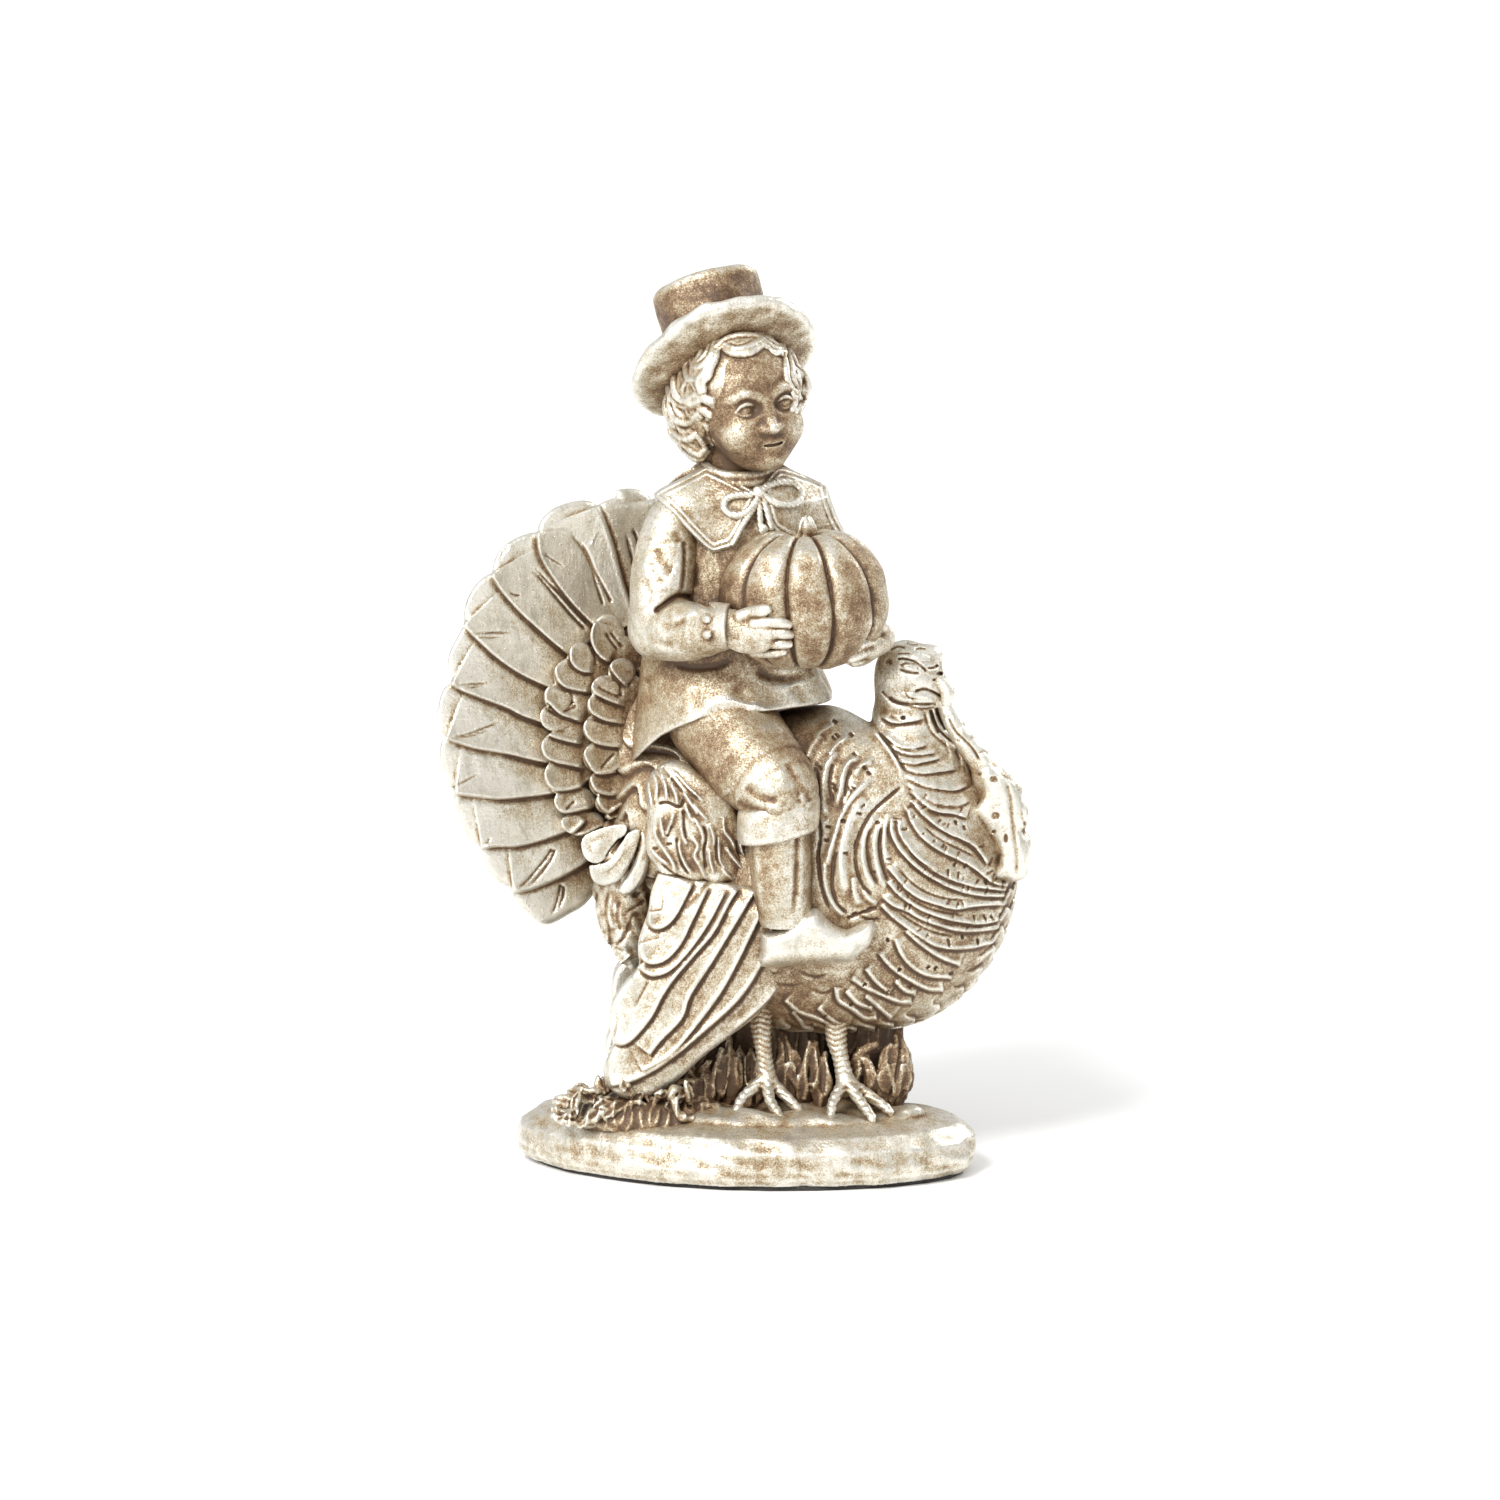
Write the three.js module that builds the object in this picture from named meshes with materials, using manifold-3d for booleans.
// A cast holiday figurine: a child in pilgrim's dress rides a turkey and holds a pumpkin.
// Millimetres. +Z is up, +X is the viewer's right, where the turkey's head points, and -Y is the front.
// The origin is the middle of the flat underside of the felt pad.
// Each sculpted mass is a form that can be built larger by a given amount. A mass that meets an
// earlier one is cut by that one's form, grown by the bond gap, so bonded masses never overlap.
import * as THREE from "three";
import { mergeVertices } from "three/addons/utils/BufferGeometryUtils.js";
import Module from "manifold-3d";

const wasm = await Module();
wasm.setup();

// Ground
const baseLength = 127;
const baseDepth = 76;
const baseHeight = 15;
const baseTurn = -12;
const padThickness = 1;
const padInset = 2;
const moundRise = 3;
const thicketLength = 68;
const thicketDepth = 34;
const clumpLength = 46;
const clumpDepth = 34;
const clumpHeight = 13;

// Turkey
const bodyLength = 96;
const bodyWidth = 56;
const bodyHeight = 92;
const bodyForward = 25;
const bodyBack = 2;
const shankHeight = 21;
const shankRadius = 2.4;
const toeLength = 11;
const toeRadius = 1.9;
const neckHeight = 47;
const neckBaseRadius = 17;
const neckTopRadius = 8.8;
const turkeyHeadLength = 17.5;
const turkeyHeadWidth = 15.5;
const turkeyHeadHeight = 19;
const beakLength = 5;
const beakRadius = 3.6;
const snoodRadius = 1.9;
const wattleDrop = 47.5;
const wattleRadius = 7.4;
const wingWidth = 50;
const wingDrop = 66;
const wingFeatherHalf = 5.2;
const wingThickness = 7;
const wingStep = 1.2;
const scapularLength = 34;
const scapularWidth = 33;
const scapularDepth = 22;

// Tail
const fanRadius = 60.5;
const fanTurn = 31;
const fanSpan = 155;
const fanThickness = 6;
const fanTipHalf = 11.6;
const fanTipRound = 8;
const fanRootHalf = 3;
const shingleTilt = 7;
const middleRowRadius = 39.5;
const innerRowRadius = 26.8;
const covertTipHalf = 5.2;
const covertTipRound = 5;
const covertThickness = 4.5;
const rowDepth = 4;
const fluffDrop = 34;
const fluffRadius = 9.6;
const lowerCovertLength = 19;
const lowerCovertHalf = 5;

// Rider
const coatWidth = 56;
const coatDepth = 44;
const coatHeight = 76;
const hemSlope = 0.42;
const seatSink = 12;
const collarThickness = 1.8;
const collarDrop = 21;
const bowWidth = 24;
const bowBand = 2.2;
const bowRelief = 1.8;
const sleeveRadius = 8.4;
const upperArmLength = 34;
const forearmLength = 30;
const handLength = 17;
const handWidth = 15;
const handThickness = 8;
const thighLength = 38;
const thighRadius = 13.5;
const kneeRadius = 11;
const bandWidth = 22.6;
const bandHeight = 11;
const stockingLength = 24;
const stockingRadius = 8.2;
const shoeLength = 31;
const shoeHeight = 15;
const shoeWidth = 13;
const neckRadius = 8.6;
const neckLength = 12;
const faceWidth = 29;
const faceDepth = 31;
const faceHeight = 37;
const hairThickness = 3.2;
const curlRadius = 3.6;
const brimRadius = 26;
const brimThickness = 2.6;
const brimRise = 2.5;
const brimBackTilt = 44;
const brimLean = 20.5;
const crownBaseRadius = 15;
const crownTopRadius = 15.6;
const crownHeight = 24.5;
const crownRound = 2.5;
const crownLean = 17;
const crownBackTilt = 24;

// Pumpkin
const pumpkinWidth = 46;
const pumpkinDepth = 42;
const pumpkinHeight = 39;
const pumpkinRibs = 10;
const ribDepthShare = 0.07;
const stemHeight = 7;
const stemRadius = 3;

// Making
const bondGap = 0.3;
const overrun = 4;
const roundSides = 10;
const weldWithin = 1e-4;
const silver = new THREE.Color(0.78, 0.72, 0.6);
const feltGrey = new THREE.Color(0.16, 0.15, 0.14);

const frontward = new THREE.Vector3(0, -1, 0);
const upward = new THREE.Vector3(0, 0, 1);
const spot = (x, y, z) => new THREE.Vector3(x, y, z);
// A place given as shares of three sizes, from an origin.
const placed = (origin, sizes, shares) =>
  spot(
    origin.x + sizes[0] * shares[0],
    origin.y + sizes[1] * shares[1],
    origin.z + sizes[2] * shares[2],
  );
const turned = (degrees) => THREE.MathUtils.degToRad(degrees);

// A three.js geometry as a closed solid.
function solidOf(geometry) {
  const bare = geometry.clone();
  for (const name of Object.keys(bare.attributes)) {
    if (name !== "position") bare.deleteAttribute(name);
  }
  const merged = mergeVertices(bare, weldWithin);
  return new wasm.Manifold(
    new wasm.Mesh({
      numProp: 3,
      vertProperties: new Float32Array(merged.attributes.position.array),
      triVerts: new Uint32Array(merged.index.array),
    }),
  );
}

const joinedSolids = (solids) => solids.reduce((whole, next) => whole.add(next));
// Several forms as one.
const joined = (...forms) => (grow) => joinedSolids(forms.map((form) => form(grow)));

// An ellipsoid with three half sizes, turned by Euler angles in degrees.
const ball = (centre, half, turn = [0, 0, 0], sides = roundSides) => (grow) => {
  const geometry = new THREE.SphereGeometry(1, sides, Math.ceil(sides * 0.6));
  const spin = new THREE.Quaternion().setFromEuler(new THREE.Euler(...turn.map(turned)));
  geometry.rotateX(Math.PI / 2);
  geometry.applyMatrix4(
    new THREE.Matrix4().compose(
      centre,
      spin,
      spot(half[0] + grow, half[1] + grow, half[2] + grow),
    ),
  );
  return solidOf(geometry);
};

// One cross-section of a limb: its centre, its half size across the view and its half size front to back.
const station = (at, wide, deep = wide, lean = 0) => ({ at, wide, deep, lean });

// A form swept through stations, with round or flat ends. Lean tips a section up towards +X.
const limb = (stations, { facing = frontward, sides = roundSides, flat = false } = {}) => (grow) => {
  const last = stations.length - 1;
  const domeShares = flat ? [1] : [1, 0.62];
  const rings = [];
  stations.forEach((here, i) => {
    const before = stations[Math.max(i - 1, 0)].at;
    const after = stations[Math.min(i + 1, last)].at;
    const along = after.clone().sub(before).normalize();
    const deepWay = facing.clone().addScaledVector(along, -facing.dot(along)).normalize();
    const wideWay = new THREE.Vector3().crossVectors(deepWay, along).normalize();
    const ring = (share, shift) => ({ here, along, deepWay, wideWay, share, shift });
    const reach = Math.min(here.wide, here.deep) + grow;
    const dome = domeShares.map((share) => ring(share, flat ? grow : reach * Math.sqrt(1 - share * share)));
    if (i === 0) rings.push(...dome.toReversed().map((r) => ({ ...r, shift: -r.shift })));
    else if (i === last) rings.push(...dome);
    else rings.push(ring(1, 0));
  });
  const points = [];
  for (const { here, along, deepWay, wideWay, share, shift } of rings) {
    for (let k = 0; k < sides; k++) {
      const angle = (2 * Math.PI * k) / sides;
      const across = Math.cos(angle) * (here.wide + grow) * share;
      const inward = Math.sin(angle) * (here.deep + grow) * share;
      const point = here.at
        .clone()
        .addScaledVector(along, shift)
        .addScaledVector(wideWay, across)
        .addScaledVector(deepWay, inward);
      point.z += here.lean * (point.x - here.at.x);
      points.push(point);
    }
  }
  const faces = [];
  for (let r = 0; r < rings.length - 1; r++) {
    for (let k = 0; k < sides; k++) {
      const a = r * sides + k;
      const b = r * sides + ((k + 1) % sides);
      faces.push(a, b, a + sides, b, b + sides, a + sides);
    }
  }
  const end = (rings.length - 1) * sides;
  for (let k = 1; k < sides - 1; k++) {
    faces.push(0, k + 1, k);
    faces.push(end, end + k, end + k + 1);
  }
  const geometry = new THREE.BufferGeometry().setFromPoints(points);
  geometry.setIndex(faces);
  return solidOf(geometry);
};

// A profile of [radius, height] pairs turned about an axis that leans away from +Z.
const spun = (profile, centre, leans, sides = 24) => (grow) => {
  const middle = profile.reduce((sum, [, height]) => sum + height, 0) / profile.length;
  const points = profile.map(
    ([radius, height]) =>
      new THREE.Vector2(radius > 0 ? radius + grow : 0, height + Math.sign(height - middle) * grow),
  );
  const geometry = new THREE.LatheGeometry(points, sides);
  geometry.rotateX(Math.PI / 2);
  geometry.applyMatrix4(
    new THREE.Matrix4().compose(
      centre,
      new THREE.Quaternion().setFromEuler(new THREE.Euler(...leans.map(turned), "YXZ")),
      spot(1, 1, 1),
    ),
  );
  return solidOf(geometry);
};

// A flat outline in the X-Z plane, pushed through from one depth to another.
const cutter = (outline, from, to) => {
  const geometry = new THREE.ExtrudeGeometry(outline, {
    depth: to - from,
    bevelEnabled: false,
    curveSegments: 6,
  });
  geometry.rotateX(Math.PI / 2);
  geometry.translate(0, to, 0);
  return solidOf(geometry);
};
const outlineOf = (places) => new THREE.Shape(places.map(([x, z]) => new THREE.Vector2(x, z)));

// ---------- Ground ----------
const groundTop = padThickness + baseHeight;

// A round mass with an uneven outline, given as [radius share, height] pairs from the bottom up.
const mound = (centre, length, depth, levels, lobes, lobeShare, turn, sides = 28) => (grow) => {
  const middle = levels.at(-1)[1] / 2;
  const profile = levels.map(
    ([share, height]) => new THREE.Vector2(share, height + Math.sign(height - middle) * grow),
  );
  const geometry = new THREE.LatheGeometry(profile, sides);
  geometry.rotateX(Math.PI / 2);
  const position = geometry.attributes.position;
  for (let i = 0; i < position.count; i++) {
    const x = position.getX(i);
    const y = position.getY(i);
    const swell = 1 + lobeShare * Math.cos(lobes * Math.atan2(y, x));
    const share = Math.hypot(x, y) || 1;
    const outward = grow / share;
    position.setX(i, x * (swell * (length / 2) + outward));
    position.setY(i, y * (swell * (depth / 2) + outward));
  }
  geometry.rotateZ(turned(turn));
  geometry.translate(centre.x, centre.y, centre.z);
  return solidOf(geometry);
};

const padForm = mound(
  spot(0, 0, 0),
  baseLength - 2 * padInset,
  baseDepth - 2 * padInset,
  [
    [0, 0],
    [0.97, 0],
    [0.97, padThickness],
    [0, padThickness],
  ],
  4,
  0.015,
  baseTurn,
);
const baseFoot = padThickness + bondGap;
const groundForm = mound(
  spot(0, 0, baseFoot),
  baseLength,
  baseDepth,
  [
    [0, 0],
    [0.96, 0],
    [1, baseHeight * 0.3],
    [0.98, baseHeight * 0.62],
    [0.91, baseHeight * 0.86],
    [0.74, baseHeight],
    [0.4, baseHeight + moundRise * 0.8],
    [0, baseHeight + moundRise],
  ],
  4,
  0.015,
  baseTurn,
);

// ---------- Turkey ----------
const bellyHeight = groundTop + shankHeight;
const bodyCentre = spot(bodyForward, bodyBack, bellyHeight + bodyHeight / 2);
const bodySizes = [bodyLength, bodyWidth, bodyHeight];
const onBody = (...shares) => placed(bodyCentre, bodySizes, shares);
// Centre and half sizes of each mass of the body, as shares of its length, width and height.
const bodyMassShares = {
  breast: [0.105, 0, -0.011, 0.4, 0.5, 0.473],
  middle: [-0.1, 0, -0.06, 0.4, 0.5, 0.43],
  back: [-0.05, 0, 0.2, 0.345, 0.4, 0.29],
  rump: [-0.37, 0.08, 0.12, 0.27, 0.38, 0.27],
  tailRoot: [-0.5, 0.16, 0.33, 0.2, 0.23, 0.25],
};
const bodyForm = joined(
  ...Object.values(bodyMassShares).map((shares) =>
    ball(
      onBody(...shares.slice(0, 3)),
      shares.slice(3).map((share, i) => share * bodySizes[i]),
      [0, 0, 0],
      14,
    ),
  ),
);

const neckFoot = onBody(0.29, -0.05, 0.07);
const neckTop = spot(neckFoot.x - neckHeight * 0.19, neckFoot.y - neckHeight * 0.04, neckFoot.z + neckHeight);
// [share of the way up, share of the way from the base radius to the top radius]
const neckShares = [
  [0, 0],
  [0.32, 0.3],
  [0.6, 0.7],
  [0.85, 0.95],
  [1, 1],
];
const neckForm = limb(
  neckShares.map(([up, thin]) => {
    const at = neckFoot.clone().lerp(neckTop, up);
    at.x -= neckHeight * 0.045 * Math.sin(Math.PI * up);
    const radius = THREE.MathUtils.lerp(neckBaseRadius, neckTopRadius, thin);
    return station(at, radius, radius * 0.92);
  }),
  { sides: 12 },
);

const headSizes = [turkeyHeadLength, turkeyHeadWidth, turkeyHeadHeight];
const headCentre = spot(neckTop.x, neckTop.y, neckTop.z - turkeyHeadHeight * 0.02);
const onHead = (...shares) => placed(headCentre, headSizes, shares);
const beakRoot = onHead(0.34, -0.06, -0.08);
const beakTip = spot(beakRoot.x + beakLength, beakRoot.y - beakLength * 0.12, beakRoot.z - beakLength * 0.45);
const turkeyHeadForm = joined(
  ball(headCentre, headSizes.map((size) => size / 2)),
  ball(onHead(-0.06, 0, 0.2), headSizes.map((size) => size * 0.37)),
  limb([station(beakRoot, beakRadius * 1.4, beakRadius * 1.2), station(beakTip, beakRadius * 0.45)], {
    sides: 8,
  }),
);
const snoodForm = limb(
  [
    station(onHead(0.42, -0.14, 0.14), snoodRadius * 0.9),
    station(onHead(0.56, -0.26, -0.04), snoodRadius),
    station(onHead(0.58, -0.34, -0.2), snoodRadius * 0.9),
  ],
  { sides: 8 },
);
const wattleTop = onHead(0.44, -0.16, -0.5);
// [across, back, down] as shares of the drop, then the radius share.
const wattleShares = [
  [0, 0, 0, 0.42],
  [0.12, -0.01, 0.17, 0.52],
  [0.22, -0.02, 0.34, 0.64],
  [0.33, -0.03, 0.55, 0.95],
  [0.38, -0.04, 0.76, 0.95],
  [0.39, -0.04, 0.93, 0.85],
];
const wattleForm = limb(
  wattleShares.map(([across, back, down, radius]) =>
    station(
      placed(wattleTop, [wattleDrop, wattleDrop, -wattleDrop], [across, back, down]),
      wattleRadius * radius,
      wattleRadius * radius * 0.9,
    ),
  ),
);

// One leg: a shank and four toes that spread from its foot.
function legForm(hip, foot) {
  const toeSpreadShares = [
    [-0.72, -0.35],
    [0.26, -0.9],
    [0.92, -0.25],
    [-0.1, 0.9],
  ];
  const knuckle = foot.clone();
  const toes = toeSpreadShares.map(([across, back]) => {
    const tip = spot(
      foot.x + toeLength * across,
      foot.y + toeLength * back,
      foot.z - toeLength * 0.6,
    );
    return limb([station(knuckle, toeRadius), station(tip, toeRadius * 0.8)], {
      facing: upward,
      sides: 7,
    });
  });
  return joined(
    limb([station(hip, shankRadius * 1.4), station(foot, shankRadius)], { sides: 8 }),
    ...toes,
  );
}
const footHeight = groundTop + moundRise * 0.4 + toeLength * 0.72;
const rightLegForm = legForm(onBody(-0.22, -0.22, -0.42), spot(onBody(-0.21, 0, 0).x, onBody(0, -0.28, 0).y, footHeight));
const leftLegForm = legForm(onBody(0.02, -0.2, -0.44), spot(onBody(0.04, 0, 0).x, onBody(0, -0.25, 0).y, footHeight));

// Everything on the far side of the turkey mirrors the near side about its middle plane.
const farSide = (point) => spot(point.x, 2 * bodyCentre.y - point.y, point.z);

// Wing feathers, top layer first: root, bend and tip as [across, down] shares of the wing's box, and a width share.
const wingFeatherShares = [
  { root: [0.42, 0.08], bend: [0.33, 0.13], tip: [0.24, 0.2], wide: 1 },
  { root: [0.54, 0.08], bend: [0.38, 0.24], tip: [0.21, 0.38], wide: 1 },
  { root: [0.68, 0.1], bend: [0.45, 0.36], tip: [0.2, 0.52], wide: 0.95 },
  { root: [0.78, 0.12], bend: [0.46, 0.46], tip: [0.09, 0.72], wide: 1.1 },
  { root: [0.86, 0.2], bend: [0.56, 0.58], tip: [0.06, 0.85], wide: 0.95 },
  { root: [0.9, 0.34], bend: [0.64, 0.68], tip: [0.04, 0.95], wide: 0.8 },
  { root: [0.96, 0.52], bend: [0.7, 0.78], tip: [0.1, 0.99], wide: 0.62 },
];
const wingCorner = onBody(-0.66, -0.55, 0.06);
function wingForm(side) {
  const onWing = ([across, down], layer) =>
    side(
      spot(
        wingCorner.x + wingWidth * across,
        wingCorner.y + layer * wingStep + wingThickness * 0.9 * down,
        wingCorner.z - wingDrop * down,
      ),
    );
  const feathers = wingFeatherShares.map(({ root, bend, tip, wide }, layer) => {
    const half = wingFeatherHalf * wide;
    const deep = wingThickness / 2;
    return limb(
      [
        station(onWing(root, layer), half, deep),
        station(onWing(bend, layer), half * 1.05, deep),
        station(onWing(tip, layer), half * 0.72, deep * 0.85),
      ],
      { sides: 7 },
    );
  });
  const core = limb(
    [
      station(onWing([0.62, 0.14], 8), wingWidth * 0.28, wingThickness * 0.8),
      station(onWing([0.5, 0.5], 7), wingWidth * 0.22, wingThickness * 0.6),
      station(onWing([0.3, 0.86], 5), wingWidth * 0.1, wingThickness * 0.4),
    ],
    { sides: 10 },
  );
  return joined(core, ...feathers);
}
const nearSide = (point) => point;
const scapularHalf = [scapularLength / 2, scapularDepth / 2, scapularWidth / 2];
const scapularCentre = onBody(-0.41, -0.32, 0.17);
const scapularForm = (side) => ball(side(scapularCentre), scapularHalf, [0, 0, 0], 12);

// ---------- Tail ----------
// The fan stands in an upright plane, turned about Z. In it, [across, up] runs from the fan's centre.
const fanCentre = onBody(-0.61, 0.18, 0.45);
const fanMatrix = new THREE.Matrix4()
  .makeTranslation(fanCentre.x, fanCentre.y, fanCentre.z)
  .multiply(new THREE.Matrix4().makeRotationZ(turned(fanTurn)));
const quillRoot = [fanRadius * 0.4, -fanRadius * 0.37];
const rowCentre = [fanRadius * 0.2, -fanRadius * 0.12];

// A flat feather with a round tip, from one place in the fan's plane to another. Front is its depth before the plane.
const feather = (root, tip, rootHalf, tipHalf, tipRound, thickness, front, tilt) => (grow) => {
  const across = tip[0] - root[0];
  const up = tip[1] - root[1];
  const length = Math.hypot(across, up);
  const wide = tipHalf + grow;
  const shape = new THREE.Shape();
  shape.moveTo(-grow, -rootHalf - grow);
  shape.absellipse(length - tipRound, 0, tipRound + grow, wide, -Math.PI / 2, Math.PI / 2);
  shape.lineTo(-grow, rootHalf + grow);
  const geometry = new THREE.ExtrudeGeometry(shape, {
    depth: thickness + 2 * grow,
    bevelEnabled: false,
    curveSegments: 3,
  });
  geometry.translate(0, 0, -thickness / 2 - grow);
  geometry.rotateX(turned(tilt));
  geometry.translate(0, 0, front);
  const along = spot(across / length, 0, up / length);
  const acrossWay = spot(-up / length, 0, across / length);
  geometry.applyMatrix4(new THREE.Matrix4().makeBasis(along, acrossWay, frontward));
  geometry.translate(root[0], 0, root[1]);
  geometry.applyMatrix4(fanMatrix);
  return solidOf(geometry);
};
const around = (centre, radius, degrees) => [
  centre[0] - radius * Math.sin(turned(degrees)),
  centre[1] + radius * Math.cos(turned(degrees)),
];
// Each feather's angle from the top as a share of the fan's span, and its reach as a share of its radius.
const fanFeatherShares = [
  [0, 1.01],
  [0.105, 1.05],
  [0.235, 1.05],
  [0.345, 1.04],
  [0.445, 1],
  [0.545, 1],
  [0.64, 0.99],
  [0.75, 0.98],
  [0.87, 1],
  [1, 1.02],
];
const hiddenFeathers = 6;
const fanFeathers = [
  ...fanFeatherShares.slice(1, hiddenFeathers + 1).map(([span, reach]) => [-span, reach]).reverse(),
  ...fanFeatherShares,
].map(([span, reach]) =>
  feather(
    quillRoot,
    around([0, 0], fanRadius * reach, fanSpan * span),
    fanRootHalf,
    fanTipHalf,
    fanTipRound,
    fanThickness,
    0,
    shingleTilt,
  ),
);
const fanForm = joined(...fanFeathers);

// A row of small coverts round the tail's root, each with its tip on one circle.
function covertRow(radius, firstDegrees, lastDegrees, count, front) {
  const centre = [rowCentre[0] - front * Math.tan(turned(fanTurn)), rowCentre[1]];
  const petals = [];
  for (let i = 0; i < count; i++) {
    const degrees = THREE.MathUtils.lerp(firstDegrees, lastDegrees, i / (count - 1));
    const tip = around(centre, radius, degrees);
    const root = around(centre, radius * 0.45, degrees);
    petals.push(
      feather(
        root,
        tip,
        covertTipHalf * 0.8,
        covertTipHalf,
        covertTipRound,
        covertThickness,
        front,
        shingleTilt,
      ),
    );
  }
  return joined(...petals);
}
const middleRowForm = covertRow(middleRowRadius, -60, 128, 16, fanThickness / 2 + rowDepth * 0.5);
const innerRowForm = covertRow(innerRowRadius, -48, 124, 12, fanThickness / 2 + rowDepth * 1.4);

const fluffTop = onBody(-0.6, 0.02, 0.06);
const fluffForm = limb([
  station(fluffTop, fluffRadius, fluffRadius),
  station(placed(fluffTop, [fluffDrop, fluffDrop, -fluffDrop], [-0.05, -0.08, 0.45]), fluffRadius * 0.85),
  station(placed(fluffTop, [fluffDrop, fluffDrop, -fluffDrop], [-0.02, -0.2, 0.86]), fluffRadius * 0.45),
]);
// Tips of the soft coverts under the fan, as [across, down] shares of their length.
const lowerCovertShares = [
  [-0.72, 0.5],
  [-0.45, 0.86],
  [-0.05, 0.98],
];
const lowerCovertRoot = onBody(-0.58, -0.02, 0.16);
const lowerCovertForm = joined(
  ...lowerCovertShares.map(([across, down]) =>
    limb(
      [
        station(lowerCovertRoot, lowerCovertHalf),
        station(
          placed(lowerCovertRoot, [lowerCovertLength, lowerCovertLength, -lowerCovertLength], [across, -0.22, down]),
          lowerCovertHalf,
          lowerCovertHalf * 0.8,
        ),
      ],
      { sides: 9 },
    ),
  ),
);

// ---------- Thicket and grass under the bird ----------
const thicketHeight = bellyHeight - groundTop + bodyHeight * 0.08;
const thicketForm = mound(
  spot(bodyCentre.x - bodyLength * 0.18, bodyCentre.y + bodyWidth * 0.1, groundTop - moundRise),
  thicketLength,
  thicketDepth,
  [
    [0, 0],
    [1.1, 0],
    [0.96, thicketHeight * 0.35],
    [0.92, thicketHeight * 0.7],
    [0.9, thicketHeight + moundRise],
    [0, thicketHeight + moundRise],
  ],
  7,
  0.07,
  0,
);
const clumpForm = mound(
  spot(wingCorner.x + wingWidth * 0.24, bodyCentre.y - bodyWidth * 0.22, groundTop - moundRise),
  clumpLength,
  clumpDepth,
  [
    [0, 0],
    [1, 0],
    [0.85, clumpHeight * 0.45],
    [0.45, clumpHeight * 0.85],
    [0, clumpHeight],
  ],
  6,
  0.1,
  0,
);

// ---------- Rider ----------
const seat = spot(bodyCentre.x - bodyLength * 0.3, bodyCentre.y, bodyCentre.z + bodyHeight / 2 - seatSink);
const coatSizes = [coatWidth, coatDepth, coatHeight];
const onCoat = (...shares) => placed(seat, coatSizes, shares);
// Height share, across share, half width share, half depth share, and slope share of each section of the coat.
const coatShares = [
  [0.06, 0, 0.51, 0.5, 1],
  [0.2, 0, 0.5, 0.49, 0.8],
  [0.42, 0, 0.45, 0.44, 0.3],
  [0.62, 0.01, 0.4, 0.4, 0],
  [0.82, 0.04, 0.39, 0.36, 0],
  [0.94, 0.04, 0.35, 0.3, 0],
  [1, 0.02, 0.22, 0.24, 0],
];
const coatForm = limb(
  coatShares.map(([up, across, wide, deep, slope]) =>
    station(onCoat(across, 0, up), coatWidth * wide, coatDepth * deep, hemSlope * slope),
  ),
  { sides: 14, flat: true },
);

// Shoulder, elbow and wrist of each arm, from the coat's shoulder line.
const rightShoulder = onCoat(-0.31, -0.2, 0.875);
const rightElbow = placed(rightShoulder, [upperArmLength, upperArmLength, upperArmLength], [-0.12, -0.2, -0.94]);
const rightWrist = placed(rightElbow, [forearmLength, forearmLength, forearmLength], [0.68, -0.6, 0.16]);
const rightSleeveForm = limb(
  [
    station(rightShoulder, sleeveRadius),
    station(rightShoulder.clone().lerp(rightElbow, 0.5), sleeveRadius * 1.05),
    station(rightElbow, sleeveRadius),
    station(rightElbow.clone().lerp(rightWrist, 0.5), sleeveRadius * 0.98),
    station(rightWrist, sleeveRadius * 0.9),
  ],
  { sides: 12 },
);
const leftShoulder = onCoat(0.4, 0.22, 0.865);
const leftElbow = placed(leftShoulder, [upperArmLength, upperArmLength, upperArmLength], [0.12, -0.3, -0.88]);
const leftWrist = placed(leftElbow, [forearmLength, forearmLength, forearmLength], [0.28, -0.46, -0.2]);
const leftSleeveForm = limb(
  [
    station(leftShoulder, sleeveRadius * 0.95),
    station(leftElbow, sleeveRadius * 0.92),
    station(leftWrist, sleeveRadius * 0.8),
  ],
  { sides: 12, facing: new THREE.Vector3(-1, 0, 0) },
);

const pumpkinHalf = [pumpkinWidth / 2, pumpkinDepth / 2, pumpkinHeight / 2];
const pumpkinCentre = onCoat(0.34, -0.43, 0.58);
const pumpkinForm = (grow) => {
  const segments = pumpkinRibs * 3;
  const geometry = new THREE.SphereGeometry(1, segments, 10);
  geometry.rotateX(Math.PI / 2);
  const position = geometry.attributes.position;
  for (let i = 0; i < position.count; i++) {
    const angle = Math.atan2(position.getY(i), position.getX(i));
    const rib = 1 - ribDepthShare * (1 - Math.abs(Math.sin((pumpkinRibs * angle) / 2)));
    const flat = 1 - ribDepthShare * Math.abs(position.getZ(i)) ** 6;
    position.setXYZ(
      i,
      position.getX(i) * (pumpkinHalf[0] * rib + grow),
      position.getY(i) * (pumpkinHalf[1] * rib + grow),
      position.getZ(i) * (pumpkinHalf[2] * flat + grow),
    );
  }
  geometry.translate(pumpkinCentre.x, pumpkinCentre.y, pumpkinCentre.z);
  return solidOf(geometry);
};
const pumpkinTop = spot(pumpkinCentre.x + pumpkinWidth * 0.02, pumpkinCentre.y, pumpkinCentre.z + pumpkinHeight * 0.46);
const stemForm = limb(
  [
    station(pumpkinTop, stemRadius * 1.3),
    station(placed(pumpkinTop, [stemHeight, stemHeight, stemHeight], [0.1, -0.15, 0.8]), stemRadius * 0.8),
  ],
  { sides: 8 },
);

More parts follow.
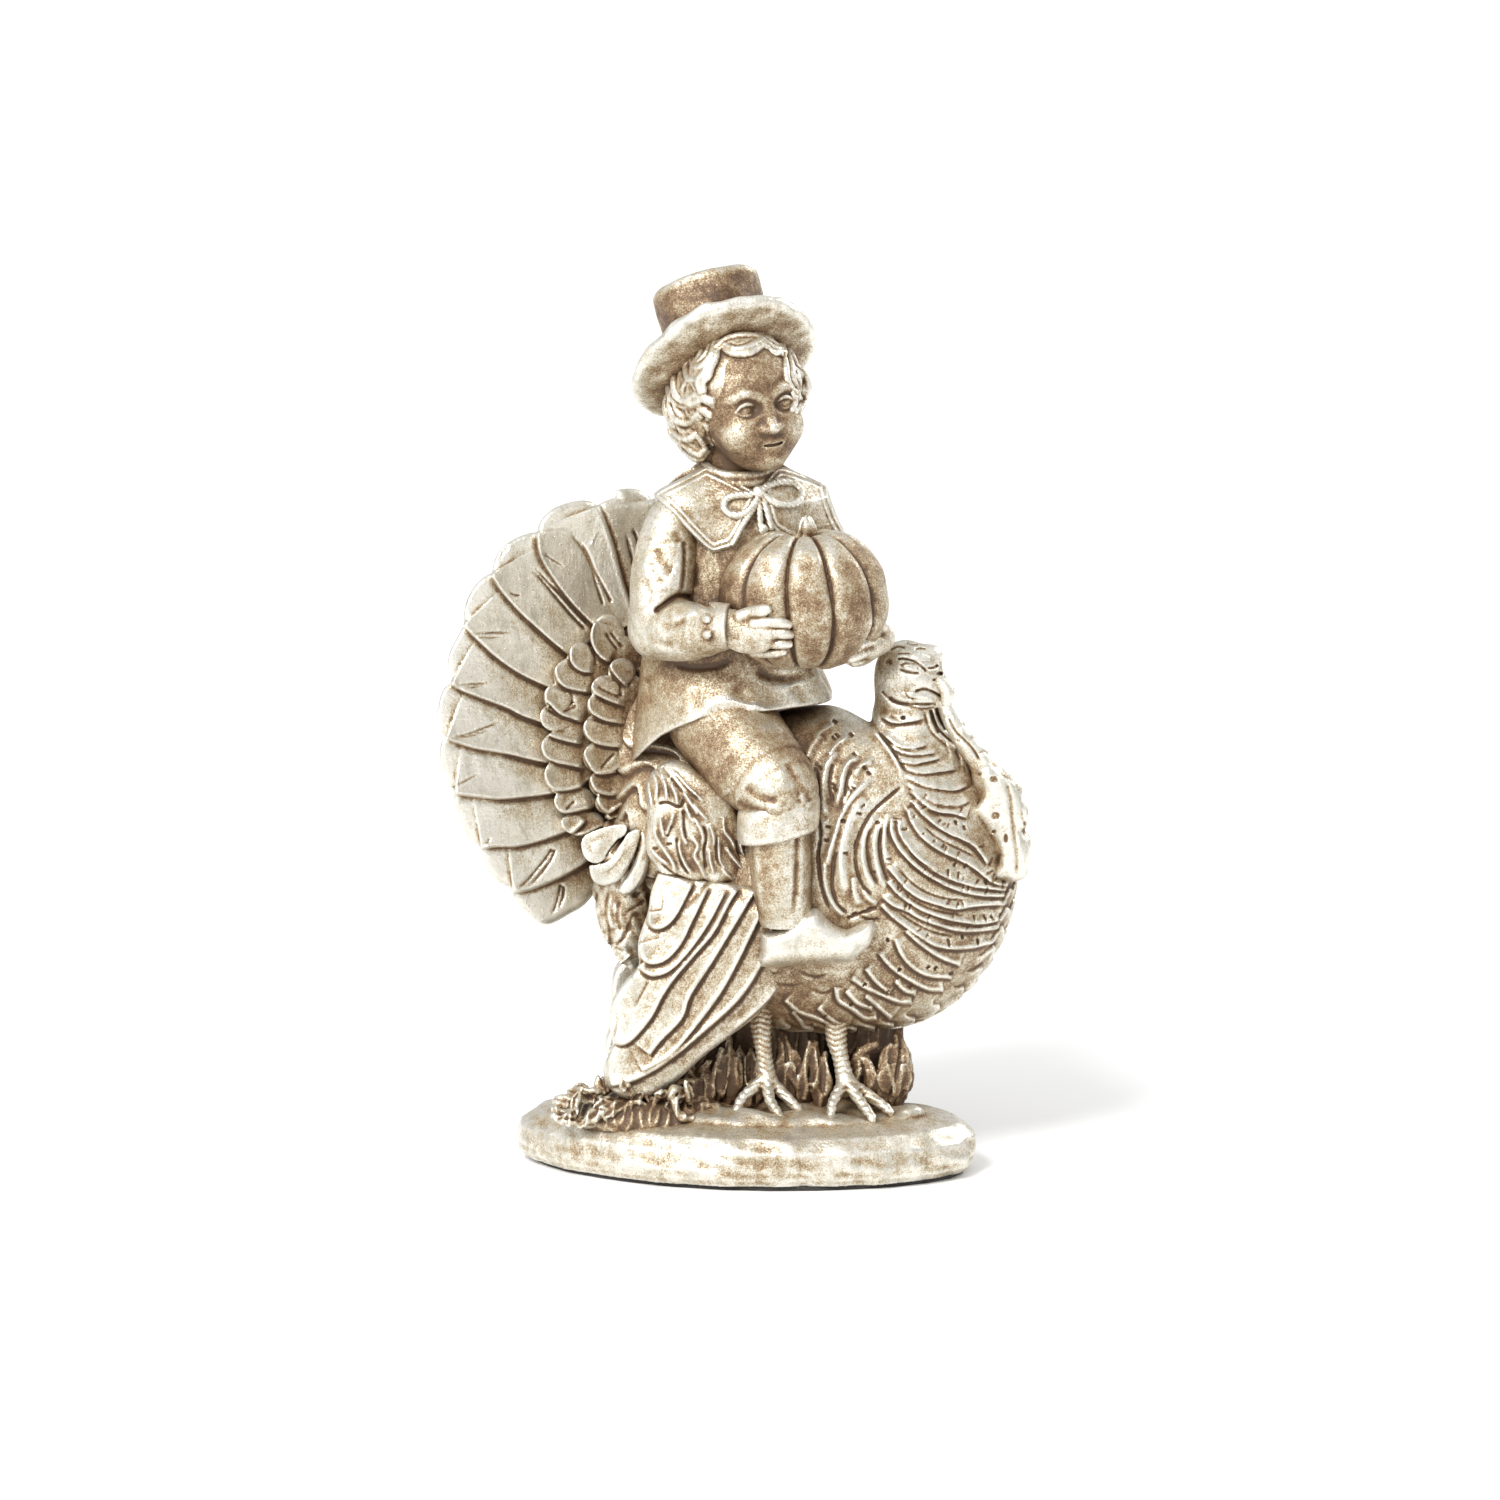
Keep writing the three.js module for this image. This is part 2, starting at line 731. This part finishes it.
// Hands: a palm with four fingers laid side by side, and a thumb.
function handForm(wrist, reachWay, spreadWay, backWay) {
  const reach = reachWay.clone().normalize();
  const spread = spreadWay.clone().normalize();
  const back = backWay.clone().normalize();
  const on = (along, across, out) =>
    wrist
      .clone()
      .addScaledVector(reach, handLength * along)
      .addScaledVector(spread, handWidth * across)
      .addScaledVector(back, handThickness * out);
  const palm = limb(
    [
      station(on(0, 0, 0), handWidth * 0.36, handThickness * 0.5),
      station(on(0.42, 0, 0), handWidth * 0.46, handThickness * 0.5),
    ],
    { facing: back },
  );
  const fingerAcrossShares = [-0.33, -0.11, 0.11, 0.33];
  const fingers = fingerAcrossShares.map((across) =>
    limb(
      [
        station(on(0.45, across, 0.05), handWidth * 0.13, handThickness * 0.3),
        station(on(0.94 - Math.abs(across) * 0.3, across * 0.95, -0.2), handWidth * 0.12, handThickness * 0.28),
      ],
      { facing: back, sides: 7 },
    ),
  );
  const thumb = limb(
    [
      station(on(0.1, 0.36, 0), handWidth * 0.15, handThickness * 0.3),
      station(on(0.58, 0.58, -0.15), handWidth * 0.13, handThickness * 0.28),
    ],
    { facing: back, sides: 7 },
  );
  return joined(palm, ...fingers, thumb);
}
const rightHandForm = handForm(rightWrist, spot(1, -0.12, 0), upward, spot(-0.25, -1, 0.1));
const leftHandForm = handForm(leftWrist, spot(-0.35, -1, -0.1), spot(0.75, -0.2, 0.6), spot(0.75, 0, -0.75));

// Legs of the rider, near side first; the far leg mirrors it.
const hip = onCoat(-0.08, -0.2, 0.13);
const knee = placed(hip, [thighLength, thighLength, thighLength], [0.42, -0.5, -0.44]);
const bandTop = spot(knee.x, knee.y - kneeRadius * 0.1, knee.z + bandHeight * 0.02);
const bandFoot = spot(bandTop.x + bandHeight * 0.05, bandTop.y, bandTop.z - bandHeight);
const ankle = spot(bandFoot.x + stockingLength * 0.08, bandFoot.y, bandFoot.z - stockingLength);
const thighForm = (side) =>
  limb(
    [
      station(side(hip), thighRadius * 1.05),
      station(side(hip.clone().lerp(knee, 0.55)), thighRadius),
      station(side(knee), kneeRadius),
    ],
    { sides: 14, facing: side === nearSide ? frontward : frontward.clone().negate() },
  );
const bandForm = (side) =>
  limb(
    [
      station(side(bandTop), bandWidth / 2, bandWidth * 0.47, 0.14),
      station(side(bandFoot), bandWidth / 2, bandWidth * 0.47, 0.14),
    ].reverse(),
    { sides: 14, flat: true },
  );
const stockingForm = (side) =>
  limb(
    [
      station(side(ankle), stockingRadius * 0.86),
      station(side(ankle.clone().lerp(bandFoot, 0.6)), stockingRadius * 1.02),
      station(side(bandFoot), stockingRadius),
    ],
    { sides: 12, flat: true },
  );
const shoeSizes = [shoeLength, shoeWidth, shoeHeight];
// Place along, height, half height and half width of each section of a shoe, as shares.
const shoeShares = [
  [-0.16, -0.36, 0.46, 0.46],
  [0.12, -0.32, 0.58, 0.5],
  [0.44, -0.45, 0.42, 0.48],
  [0.68, -0.3, 0.32, 0.38],
  [0.85, -0.06, 0.17, 0.24],
];
const shoeForm = (side) =>
  limb(
    shoeShares.map(([along, up, high, wide]) =>
      station(side(placed(ankle, shoeSizes, [along, -0.02, up])), shoeHeight * high, shoeWidth * wide),
    ),
    { sides: 12 },
  );

// Head, hair and hat
const neckMiddle = onCoat(0.03, -0.06, 1.04);
const faceCentre = spot(neckMiddle.x + faceWidth * 0.06, neckMiddle.y - faceDepth * 0.14, neckMiddle.z + faceHeight * 0.49);
const faceSizes = [faceWidth, faceDepth, faceHeight];
const onFace = (...shares) => placed(faceCentre, faceSizes, shares);
const faceTurn = 25;
const riderHeadForm = joined(
  ball(faceCentre, faceSizes.map((size) => size / 2), [0, 0, faceTurn], 16),
  ball(onFace(0.08, -0.16, -0.2), [faceWidth * 0.42, faceDepth * 0.34, faceHeight * 0.31], [0, 0, faceTurn], 14),
  ball(onFace(0.24, -0.5, -0.07), [faceWidth * 0.07, faceDepth * 0.07, faceHeight * 0.07], [0, 0, faceTurn], 8),
  limb(
    [
      station(spot(neckMiddle.x, neckMiddle.y, neckMiddle.z - neckLength * 0.5), neckRadius),
      station(spot(neckMiddle.x, neckMiddle.y, neckMiddle.z + neckLength * 0.5), neckRadius * 0.95),
    ],
    { sides: 12 },
  ),
);
const curlPlaceShares = [
  [-0.5, -0.16, 0.2],
  [-0.54, -0.1, 0.04],
  [-0.53, -0.04, -0.12],
  [-0.47, 0.02, -0.28],
  [-0.36, -0.4, 0.34],
  [0.1, -0.52, 0.38],
  [0.36, -0.46, 0.34],
  [0.56, -0.2, 0.16],
  [0.55, -0.12, 0.02],
];
const hairForm = joined(
  ball(
    onFace(-0.05, 0.13, 0.06),
    [faceWidth / 2 + hairThickness * 0.6, faceDepth / 2 + hairThickness * 0.4, faceHeight * 0.46],
    [0, 0, faceTurn],
    14,
  ),
  ...curlPlaceShares.map((shares) => ball(onFace(...shares), [curlRadius, curlRadius, curlRadius * 1.2], [0, 0, 0], 8)),
);

const hatCentre = onFace(-0.19, 0.22, 0.245);
const brimForm = spun(
  [
    [0, -brimThickness / 2],
    [crownBaseRadius * 0.7, -brimThickness / 2],
    [brimRadius * 0.78, brimRise * 0.4 - brimThickness / 2],
    [brimRadius, brimRise - brimThickness / 2],
    [brimRadius, brimRise + brimThickness / 2],
    [brimRadius * 0.75, brimRise * 0.4 + brimThickness / 2],
    [0, brimThickness / 2],
  ],
  hatCentre,
  [-brimBackTilt, -brimLean, 0],
);
// The crown leans less than the brim, so it starts below the brim and is cut off along it.
const crownSink = crownBaseRadius * 0.6;
const fullCrown = spun(
  [
    [0, -crownSink],
    [crownBaseRadius, -crownSink],
    [crownTopRadius, crownHeight - crownRound],
    [crownTopRadius - crownRound, crownHeight],
    [0, crownHeight],
  ],
  hatCentre,
  [-crownBackTilt, -crownLean, 0],
);
const underBrim = spun(
  [
    [0, -brimRadius * 2],
    [brimRadius * 2, -brimRadius * 2],
    [brimRadius * 2, 0],
    [0, 0],
  ],
  hatCentre,
  [-brimBackTilt, -brimLean, 0],
);
const crownForm = (grow) => fullCrown(grow).subtract(underBrim(0));

// The collar and the bow are laid on the coat: an outline seen from the front, as deep as the cloth is thick.
const dressed = joined(coatForm, rightSleeveForm, leftSleeveForm);
const shoulderLine = onCoat(0, 0, 0.97).z;
const collarOutline = outlineOf([
  [seat.x - coatWidth * 0.2, shoulderLine + collarDrop * 0.5],
  [seat.x - coatWidth * 0.42, shoulderLine - collarDrop * 0.12],
  [seat.x - coatWidth * 0.42, shoulderLine - collarDrop * 0.3],
  [seat.x - coatWidth * 0.12, shoulderLine - collarDrop * 0.98],
  [seat.x - coatWidth * 0.02, shoulderLine - collarDrop * 0.86],
  [seat.x + coatWidth * 0.12, shoulderLine - collarDrop * 0.2],
  [seat.x + coatWidth * 0.3, shoulderLine - collarDrop * 0.98],
  [seat.x + coatWidth * 0.56, shoulderLine - collarDrop * 0.6],
  [seat.x + coatWidth * 0.54, shoulderLine + collarDrop * 0.1],
  [seat.x + coatWidth * 0.2, shoulderLine + collarDrop * 0.5],
]);
const collarBackOutline = outlineOf([
  [seat.x - coatWidth * 0.4, shoulderLine + collarDrop * 0.5],
  [seat.x - coatWidth * 0.4, shoulderLine - collarDrop * 0.9],
  [seat.x + coatWidth * 0.5, shoulderLine - collarDrop * 0.9],
  [seat.x + coatWidth * 0.5, shoulderLine + collarDrop * 0.5],
]);
const collarForm = (grow) =>
  dressed(collarThickness + grow).intersect(
    cutter(collarOutline, seat.y - coatDepth, seat.y).add(
      cutter(collarBackOutline, seat.y - bondGap, seat.y + coatDepth),
    ),
  );

const bowKnot = [onCoat(0.13, 0, 0).x, onCoat(0, 0, 0.94).z];
function bowOutlines() {
  const loop = (across, up, wide, high, lean) => {
    const x = bowKnot[0] + bowWidth * across;
    const z = bowKnot[1] + bowWidth * up;
    const outer = new THREE.Shape();
    outer.absellipse(x, z, bowWidth * wide, bowWidth * high, 0, 2 * Math.PI, false, turned(lean));
    const hole = new THREE.Path();
    hole.absellipse(x, z, bowWidth * wide - bowBand, bowWidth * high - bowBand, 0, 2 * Math.PI, true, turned(lean));
    outer.holes.push(hole);
    return outer;
  };
  const tail = (across, down) =>
    outlineOf([
      [bowKnot[0] - bowBand * 0.6, bowKnot[1]],
      [bowKnot[0] + bowWidth * across - bowBand * 0.6, bowKnot[1] - bowWidth * down],
      [bowKnot[0] + bowWidth * across + bowBand * 0.6, bowKnot[1] - bowWidth * down],
      [bowKnot[0] + bowBand * 0.6, bowKnot[1]],
    ]);
  const knot = new THREE.Shape();
  knot.absellipse(bowKnot[0], bowKnot[1], bowBand, bowBand, 0, 2 * Math.PI);
  return [
    loop(-0.24, -0.12, 0.24, 0.15, 20),
    loop(0.26, 0.02, 0.26, 0.16, 5),
    tail(-0.34, 0.5),
    tail(0.04, 0.42),
    knot,
  ];
}
const bowForm = (grow) =>
  dressed(collarThickness + bowRelief + grow).intersect(
    joinedSolids(bowOutlines().map((outline) => cutter(outline, seat.y - coatDepth, seat.y - coatDepth * 0.1))),
  );

// ---------- Assembly ----------
// Earlier masses stay whole; each later one is cut by every earlier one that it meets.
const masses = [
  ["felt_pad", padForm, "ground"],
  ["ground_base", groundForm, "ground"],
  ["turkey_body", bodyForm, "turkey"],
  ["turkey_head", turkeyHeadForm, "turkey"],
  ["turkey_neck", neckForm, "turkey"],
  ["snood", snoodForm, "turkey"],
  ["wattle", wattleForm, "turkey"],
  ["turkey_right_leg", rightLegForm, "turkey"],
  ["turkey_left_leg", leftLegForm, "turkey"],
  ["leaf_thicket", thicketForm, "ground"],
  ["pumpkin", pumpkinForm, "rider"],
  ["pumpkin_stem", stemForm, "rider"],
  ["right_shoe", shoeForm(nearSide), "rider"],
  ["right_stocking", stockingForm(nearSide), "rider"],
  ["right_knee_band", bandForm(nearSide), "rider"],
  ["right_breeches", thighForm(nearSide), "rider"],
  ["left_shoe", shoeForm(farSide), "rider"],
  ["left_stocking", stockingForm(farSide), "rider"],
  ["left_knee_band", bandForm(farSide), "rider"],
  ["left_breeches", thighForm(farSide), "rider"],
  ["rider_head", riderHeadForm, "rider"],
  ["hair", hairForm, "rider"],
  ["hat_brim", brimForm, "rider"],
  ["hat_crown", crownForm, "rider"],
  ["right_sleeve", rightSleeveForm, "rider"],
  ["left_sleeve", leftSleeveForm, "rider"],
  ["right_hand", rightHandForm, "rider"],
  ["left_hand", leftHandForm, "rider"],
  ["coat", coatForm, "rider"],
  ["collar", collarForm, "rider"],
  ["neck_bow", bowForm, "rider"],
  ["right_wing", wingForm(nearSide), "turkey"],
  ["left_wing", wingForm(farSide), "turkey"],
  ["right_scapulars", scapularForm(nearSide), "turkey"],
  ["left_scapulars", scapularForm(farSide), "turkey"],
  ["lower_tail_coverts", lowerCovertForm, "turkey"],
  ["tail_fluff", fluffForm, "turkey"],
  ["tail_fan", fanForm, "turkey"],
  ["inner_tail_coverts", innerRowForm, "turkey"],
  ["middle_tail_coverts", middleRowForm, "turkey"],
  ["grass_clump", clumpForm, "ground"],
];

const meets = (a, b) =>
  a.min.every((low, i) => low <= b.max[i]) && b.min.every((low, i) => low <= a.max[i]);

// A cut can leave crumbs behind; the mass is its largest body.
const largest = (solid) =>
  solid.decompose().reduce((best, next) => (next.volume() > best.volume() ? next : best));

const figurine = new THREE.Group();
const groups = {};
for (const name of ["ground", "turkey", "rider"]) {
  groups[name] = new THREE.Group();
  groups[name].name = name;
  figurine.add(groups[name]);
}

const earlier = [];
for (const [name, form, group] of masses) {
  let solid = form(0);
  for (const other of earlier) {
    if (meets(solid.boundingBox(), other.box)) solid = solid.subtract(other.grown);
  }
  const grown = form(bondGap);
  earlier.push({ grown, box: grown.boundingBox() });
  const body = largest(solid);
  const mesh = body.getMesh();
  const middle = new THREE.Box3(
    spot(...body.boundingBox().min),
    spot(...body.boundingBox().max),
  ).getCenter(new THREE.Vector3());
  const geometry = new THREE.BufferGeometry();
  geometry.setAttribute("position", new THREE.BufferAttribute(new Float32Array(mesh.vertProperties), 3));
  geometry.setIndex(new THREE.BufferAttribute(new Uint32Array(mesh.triVerts), 1));
  geometry.translate(-middle.x, -middle.y, -middle.z);
  geometry.computeVertexNormals();
  const felt = name === "felt_pad";
  const material = new THREE.MeshStandardMaterial({
    color: felt ? feltGrey : silver,
    roughness: felt ? 0.95 : 0.42,
    metalness: felt ? 0 : 0.75,
  });
  const piece = new THREE.Mesh(geometry, material);
  piece.name = name;
  piece.position.copy(middle);
  groups[group].add(piece);
}

export default figurine;
